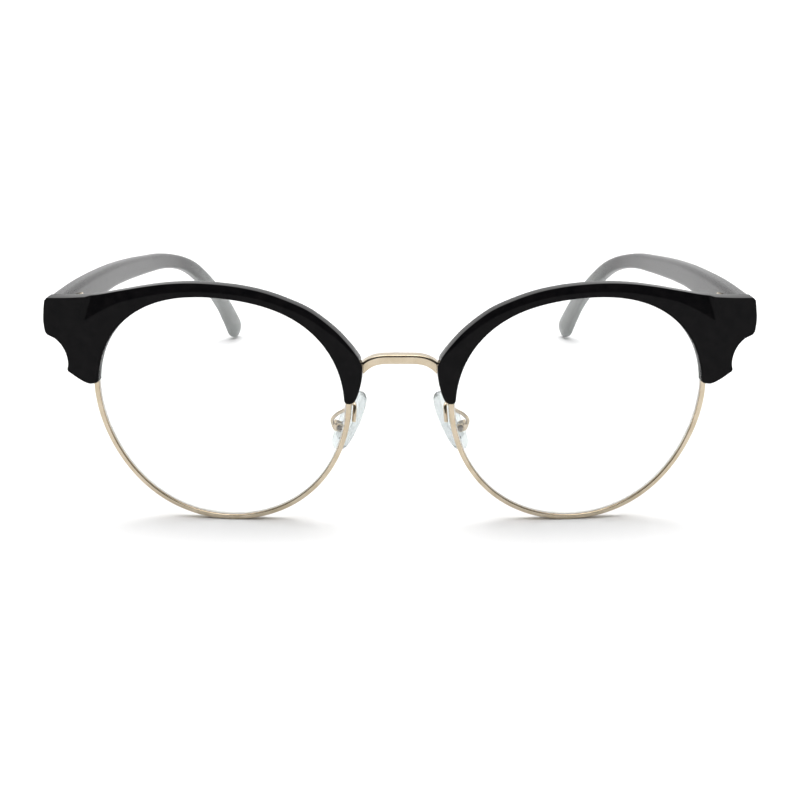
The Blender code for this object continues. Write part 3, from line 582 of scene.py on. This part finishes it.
def scoop(point, edge):
    """Depth of the facet at a point of the brow's face: none on the endpiece."""
    gap = min(distance(point, one, two) for one, two in zip(edge, edge[1:]))
    width = facet_width(point.x / MM) * MM
    start = (SCOOP_TOP + SCOOP_LEAN * gap - point.x) / SCOOP_SOFT + 0.5
    start = min(max(start, 0.0), 1.0)
    start = start * start * (3 - 2 * start)
    steep = min(FACET_SLOPE, FACET_DROP / max(width, 0.1 * MM))
    inside = (width - gap) / FACET_SOFT
    reach = inside if inside > 4 else math.log1p(math.exp(inside))
    return start * steep * reach * FACET_SOFT


# ------------------------------------------------------------------ front

def make_rim(side, sign):
    """The eyewire: rounded front edges, a slightly crowned face and the lens groove."""
    middle, half = RIM_DEPTH / 2, RIM_WIDTH / 2
    groove = GROOVE_WIDTH / 2
    profile = (
        (-half, middle - groove, GROOVE_ROUND), *RIM_FACE,
        (half, RIM_DEPTH, RIM_BACK_ROUND), (-half, RIM_DEPTH, RIM_BACK_ROUND),
        (-half, middle + groove, GROOVE_ROUND), (GROOVE - half, middle, GROOVE_ROUND))
    rings = []
    gap = CLOSE_GAP / OPENING_RADIUS
    for i in range(RIM_STATIONS + 1):
        angle = CLOSE_ANGLE + gap / 2 + (2 * math.pi - gap) * i / RIM_STATIONS
        corners = []
        for out, depth, reach in profile:
            x, z = opening(angle, rim_offset(angle) + out)
            corners.append((Vector((x, depth, z)), reach))
        rings.append(rounded(corners, 5, 0.75))
    piece(f"eyewire_{side}", loft(rings), front_frame(sign), GOLD, "front",
          [f"rim_{side}"])


def make_lens(side, sign):
    """The lens: both faces on one curve, and a V edge that stands in the groove."""
    v_tip = GROOVE - LENS_PLAY - RIM_WIDTH / 2
    v_root = v_tip - LENS_V_HEIGHT
    middle = RIM_DEPTH / 2

    def ring(offset, share, depth):
        points = []
        for i in range(LENS_POINTS):
            angle = 2 * math.pi * i / LENS_POINTS
            x, z = opening(angle, rim_offset(angle) + offset)
            z -= LENS_Z
            reach = math.hypot(x, z)
            bulge = (reach ** 2 - (share * reach) ** 2) / (2 * LENS_CURVE)
            points.append((x * share, depth - bulge, LENS_Z + z * share))
        return points

    rings = [ring(v_root, share, middle - LENS_V) for share in LENS_SHARES]
    rings.append(ring(v_tip, 1.0, middle))
    rings += [ring(v_root, share, middle + LENS_V) for share in reversed(LENS_SHARES)]
    work = loft(rings)
    work.faces.ensure_lookup_table()
    first = LENS_POINTS * (len(LENS_SHARES) - 1)
    for face in work.faces[first:first + 2 * LENS_POINTS]:
        face.material_index = 1
    made = piece(f"lens_blank_{side}", work, front_frame(sign), LENS, "front",
                 [f"lens_{side}"], sharp=25)
    made.data.materials.append(LENS_EDGE_AND_GLOW)


def brow_section(outward, height, degrees, edge):
    """Ring of the brow at one station, its edges rounded and the scoop in its face."""
    angle = math.radians(degrees)
    inner = Vector(opening(angle))
    over_rim = Vector(opening(angle, rim_offset(angle) + RIM_WIDTH / 2 + FIT))
    outer = Vector((outward, height)) * MM
    back = BROW_BACK if degrees < BROW_FLANGE_END else LIP_BACK
    corners = [(inner, BROW_FRONT, INNER_ROUND)]
    for i in range(1, FACE_POINTS):
        place = inner.lerp(outer, FACE_START + (1 - FACE_START) * i / FACE_POINTS)
        corners.append((place, BROW_FRONT + scoop(place, edge), 0))
    corners += [
        (outer, BROW_FRONT + scoop(outer, edge), TOP_ROUND), (outer, back, TOP_ROUND),
        (over_rim, back, FLANGE_ROUND), (over_rim, -FIT, REBATE_ROUND), (inner, -FIT, LIP_ROUND)]
    return rounded([(Vector((p.x, y, p.y)), reach) for p, y, reach in corners], 4)


def brow_stations():
    """Close stations along each run, with two together where the flange ends."""
    stations = []
    for run in BROW_RUNS:
        stations += smooth(run, RUN_STEPS)
    k = [s[2] >= BROW_FLANGE_END for s in stations].index(True)
    before, after = stations[k - 1], stations[k]
    step = []
    for degrees in (BROW_FLANGE_END - 0.1, BROW_FLANGE_END):
        share = (degrees - before[2]) / (after[2] - before[2])
        step.append(tuple(a + (b - a) * share for a, b in zip(before, after)))
    return stations[:k] + step + stations[k:]


def round_end(rings):
    """Draws the first rings in, so the end of the loft gets a rounded edge."""
    end = sum(rings[0], Vector()) / len(rings[0])
    for ring in rings:
        middle = sum(ring, Vector()) / len(ring)
        short = END_ROUND - (middle - end).length
        if short <= 0:
            return
        inset = END_ROUND - math.sqrt(END_ROUND ** 2 - short ** 2) * END_DRAW
        across = ring[len(ring) // 2] - ring[0]
        across.y = 0
        across.normalize()
        wide = max(abs((point - middle).dot(across)) for point in ring)
        deep = max(abs(point.y - middle.y) for point in ring)
        for point in ring:
            offset = point - middle
            point -= across * offset.dot(across) * inset / wide
            point.y -= offset.y * inset / deep


def make_brow(side, sign):
    """The acetate brow with its endpiece, and both ends rounded."""
    edge = top_edge()
    rings = [brow_section(*station, edge) for station in brow_stations()]
    for order in (rings, rings[::-1]):
        round_end(order)
    piece(f"brow_shell_{side}", loft(rings), front_frame(sign), BLACK, "front",
          [f"brow_{side}"], sharp=30)


def make_bridge():
    """The bridge bar with its rounded front edges, and an eyelet behind each brow."""
    line = smooth([(x * MM, z * MM) for x, z in BRIDGE_LINE], LINE_STEPS)
    line = [(-x, z) for x, z in reversed(line[1:])] + line
    half = BRIDGE_HEIGHT / 2
    section = ((-half, 0), (half - BRIDGE_BEVEL[0], 0), (half, BRIDGE_BEVEL[1]),
               (half, BRIDGE_DEPTH), (-half, BRIDGE_DEPTH))
    rings = []
    for i, (x, z) in enumerate(line):
        ahead = Vector(line[min(i + 1, len(line) - 1)]) - Vector(line[max(i - 1, 0)])
        normal = Vector((-ahead.y, ahead.x)).normalized()
        corners = []
        for (up, depth), reach in zip(section, BRIDGE_ROUNDS):
            place = Vector((x, BRIDGE_FRONT + depth, z))
            corners.append((place + Vector((normal.x, 0, normal.y)) * up, reach))
        rings.append(rounded(corners, 5))
    piece("bridge_bar", loft(rings), side_frame(1), GOLD, "front", ["bridge"])
    front, back = EYELET_DEPTHS
    ring_profile = ((BROW_SCREW_HOLE, front), (EYELET_RADIUS, front),
                    (EYELET_RADIUS, back), (BROW_SCREW_HOLE, back))
    for side, sign in SIDES:
        rings = []
        for i in range(EYELET_POINTS):
            turn = 2 * math.pi * i / EYELET_POINTS
            corners = [(Vector((BROW_SCREW[0] + r * math.cos(turn), y,
                                BROW_SCREW[1] + r * math.sin(turn))), EYELET_ROUND)
                       for r, y in ring_profile]
            rings.append(rounded(corners, 3))
        piece(f"bridge_eyelet_{side}", loft(rings, closed=True), front_frame(sign), GOLD,
              "front", ["bridge"])


# ------------------------------------------------------------------ temples

def make_temple(side, sign):
    """The temple: a rounded bar swept along its line, with a rounded tip and a flat butt."""
    points = smooth(TEMPLE_LINE, LINE_STEPS)
    middles = [Vector(p[:3]) * MM for p in points]

    def ring(middle, ahead, height, width):
        out = ahead.cross(Vector((0, 0, 1))).normalized()
        up = out.cross(ahead)
        a, b = width / 2, height / 2
        reach = TEMPLE_ROUND * min(1.0, width / TEMPLE_NARROW)
        tall = reach + TIP_ROUND * min(max((-middle.z + TIP_TOP) / TIP_TOP, 0.0), 1.0)
        around = []
        for x, z in ((a, b), (-a, b), (-a, -b), (a, -b)):
            for k in range(CORNER_STEPS + 1):
                share = k / CORNER_STEPS
                turn = 0.5 * math.pi * (share if x * z > 0 else 1 - share)
                x_in = math.copysign(a - min(reach, a) * (1 - math.cos(turn)), x)
                z_in = math.copysign(b - min(tall, b) * (1 - math.sin(turn)), z)
                around.append(middle + out * x_in + up * z_in)
        return around

    rings = []
    for i, middle in enumerate(middles):
        ahead = middles[min(i + 1, len(middles) - 1)] - middles[max(i - 1, 0)]
        ahead.normalize()
        rings.append(ring(middle, ahead, points[i][3] * MM, points[i][4] * MM))
    height, width = points[-1][3] * MM, points[-1][4] * MM
    for k in range(1, TIP_STEPS + 1):
        beyond = math.sin(0.5 * math.pi * k / (TIP_STEPS + TIP_SPARE))
        scale = math.sqrt(1 - beyond ** 2)
        rings.append(ring(middles[-1] + ahead * beyond * TIP_LENGTH, ahead, height * scale,
                          width * scale))
    work = loft(rings)
    cut = bmesh.ops.bisect_plane(
        work, geom=work.verts[:] + work.edges[:] + work.faces[:],
        plane_co=(0, -BUTT * math.cos(WRAP), 0),
        plane_no=(math.sin(WRAP), -math.cos(WRAP), 0), clear_outer=True)
    rim = [item for item in cut["geom_cut"] if isinstance(item, bmesh.types.BMEdge)]
    bmesh.ops.edgeloop_fill(work, edges=rim)
    piece(f"temple_arm_{side}", work, temple_frame(sign), SATIN, f"temple_{side}",
          [f"temple_{side}"], sharp=45)


# ------------------------------------------------------------------ nose pads

def pad_outline(x, scale):
    """Outline of the nose pad: an egg with its wide end down."""
    ring = []
    for i in range(PAD_POINTS):
        angle = 2 * math.pi * i / PAD_POINTS
        c, s = math.cos(angle), math.sin(angle)
        y = PAD_WIDTH / 2 * math.copysign(abs(c) ** PAD_SQUARE[0], c) * (1 - PAD_BELLY * s)
        z = PAD_HEIGHT / 2 * math.copysign(abs(s) ** PAD_SQUARE[1], s)
        y *= 1 - PAD_TRIM * max(0.0, -s) * max(0.0, c)
        ring.append((x, y * scale, z * scale + PAD_PIVOT_DOWN))
    return ring


def make_pad(side, sign):
    """The soft pad: a cushioned egg with the insert's pocket in its back."""
    half = PAD_THICKNESS / 2
    middle = -PAD_PIVOT_OUT
    rings = [pad_outline(middle + half, scale) for scale in PAD_SHARES]
    for k in range(PAD_STEPS + 1):
        turn = math.pi * (0.5 - k / PAD_STEPS)
        edge = PAD_EDGE + (1 - PAD_EDGE) * math.cos(turn) ** PAD_CROWN
        rings.append(pad_outline(middle + half * math.sin(turn), edge))
    for scale in reversed(PAD_SHARES):
        rings.append(pad_outline(middle - half - PAD_DISH * (1 - scale), scale))
    y, z = INSERT_SIZE[0] / 2 + INSERT_PLAY, INSERT_SIZE[1] / 2 + INSERT_PLAY
    floor, top = middle + half - INSERT_DEPTH, middle + half + POCKET_TOP
    pocket = loft([rounded([(Vector((x, a, b)), INSERT_ROUND)
                            for a, b in ((-y, -z), (y, -z), (y, z), (-y, z))], 3)
                   for x in (floor, top)])
    bmesh.ops.transform(pocket, matrix=pad_frame(sign), verts=pocket.verts)
    bmesh.ops.recalc_face_normals(pocket, faces=pocket.faces)
    pad = piece(f"soft_pad_{side}", loft(rings), pad_frame(sign), SILICONE, f"pad_{side}",
                [f"nose_pad_{side}"], sharp=50, cut=pocket)


def make_pad_arm(side, sign):
    """The wire from the eyewire's nose side to the pad box, with a flattened foot."""
    line = [Vector(p) * MM for p in smooth(PAD_ARM, LINE_STEPS)]
    rings = []
    across = Vector((0, 1, 0))
    for i, place in enumerate(line):
        ahead = (line[min(i + 1, len(line) - 1)] - line[max(i - 1, 0)]).normalized()
        across = (across - ahead * across.dot(ahead)).normalized()
        other = ahead.cross(across)
        foot = 1.0 + FOOT_FLARE * max(0.0, 1 - i / FOOT_STATIONS)
        ring = []
        for k in range(ARM_POINTS):
            turn = 2 * math.pi * k / ARM_POINTS
            out = across * math.cos(turn) * foot + other * math.sin(turn)
            ring.append(place + out * ARM_RADIUS)
        rings.append(ring)
    piece(f"pad_wire_{side}", loft(rings), side_frame(sign), GOLD, "front",
          [f"pad_arm_{side}"], sharp=60)


# ------------------------------------------------------------------ studio

def make_camera():
    """The camera, in front of the glasses and above them."""
    data = bpy.data.cameras.new("camera")
    data.sensor_width = CAMERA_SENSOR
    data.lens = CAMERA_LENS
    data.clip_start = CAMERA_NEAR
    made = bpy.data.objects.new("camera", data)
    made.location = (0, FRONT_Y - CAMERA_BACK, CAMERA_UP)
    made.rotation_euler = (math.pi / 2 - CAMERA_DIP, 0, 0)
    bpy.context.scene.collection.objects.link(made)
    bpy.context.scene.camera = made


def make_floor():
    """The plain floor that the eyewires and the temples' tips stand on."""
    work = bmesh.new()
    bmesh.ops.create_grid(work, x_segments=FLOOR_CELLS, y_segments=FLOOR_CELLS, size=FLOOR_SIZE)
    mesh = bpy.data.meshes.new("floor")
    work.to_mesh(mesh)
    work.free()
    mesh.materials.append(floor_paint())
    made = bpy.data.objects.new("floor", mesh)
    made.location.z = FLOOR_Z
    bpy.context.scene.collection.objects.link(made)


def make_world():
    """A photo tent: bright roof, pale back and horizon, dark opening at the camera's side."""
    world = bpy.data.worlds.new("studio")
    world.use_nodes = True
    bpy.context.scene.world = world
    tree = world.node_tree

    def combine(operation, one, two):
        made = tree.nodes.new("ShaderNodeMath")
        made.operation = operation
        link(tree, one, made.inputs[0])
        link(tree, two, made.inputs[1])
        return made.outputs["Value"]

    where = tree.nodes.new("ShaderNodeTexCoord")
    split = tree.nodes.new("ShaderNodeSeparateXYZ")
    link(tree, where.outputs["Generated"], split.inputs["Vector"])
    back = soft_step(tree, split.outputs["Y"], *BACK_STEP, DARK_FRONT, PALE_BACK)
    roof = soft_step(tree, split.outputs["Z"], *ROOF_STEP, 0.0, BRIGHT_ROOF)
    horizon = soft_step(tree, split.outputs["Z"], *HORIZON_STEP, PALE_BACK, 0.0)
    tent = combine('MAXIMUM', combine('ADD', back, roof), horizon)
    sky = tree.nodes["Background"]
    sky.inputs["Color"].default_value = (1, 1, 1, 1)
    link(tree, tent, sky.inputs["Strength"])


def make_top_box():
    """The soft light over the glasses."""
    data = bpy.data.lights.new("top_box", 'AREA')
    data.shape = 'RECTANGLE'
    data.size, data.size_y = TOP_BOX_SIZE
    data.energy = TOP_BOX_POWER
    made = bpy.data.objects.new("top_box", data)
    made.location = TOP_BOX_PLACE
    aim = Vector(TOP_BOX_TARGET) - Vector(TOP_BOX_PLACE)
    made.rotation_euler = aim.to_track_quat('-Z', 'Y').to_euler()
    bpy.context.scene.collection.objects.link(made)


# ------------------------------------------------------------------ scene

GOLD = plated_metal()
BLACK = polished_acetate()
SATIN = satin_black()
LENS = clear_lens()
LENS_EDGE_AND_GLOW = ground_edge_and_glow()
SILICONE = clear_silicone()
CLEAR_INSERT = hard_clear()
STEEL = turned_steel()
LOOKS = {"gold_metal": GOLD, "black_acetate": BLACK, "satin_acetate": SATIN, "clear_lens": LENS,
         "clear_silicone": SILICONE, "hard_clear_plastic": CLEAR_INSERT, "dark_steel": STEEL}

make_camera()
make_floor()
make_world()
make_top_box()
make_bridge()
for side, sign in SIDES:
    make_rim(side, sign)
    make_lens(side, sign)
    make_brow(side, sign)
    make_temple(side, sign)
    make_pad(side, sign)
    make_pad_arm(side, sign)
for part in frame["record"]["subparts"]:
    for holder in frame["nodes"][part["node"]].material_slots:
        holder.material = LOOKS[part["material_slot"]]

bpy.context.scene.view_settings.view_transform = 'Standard'
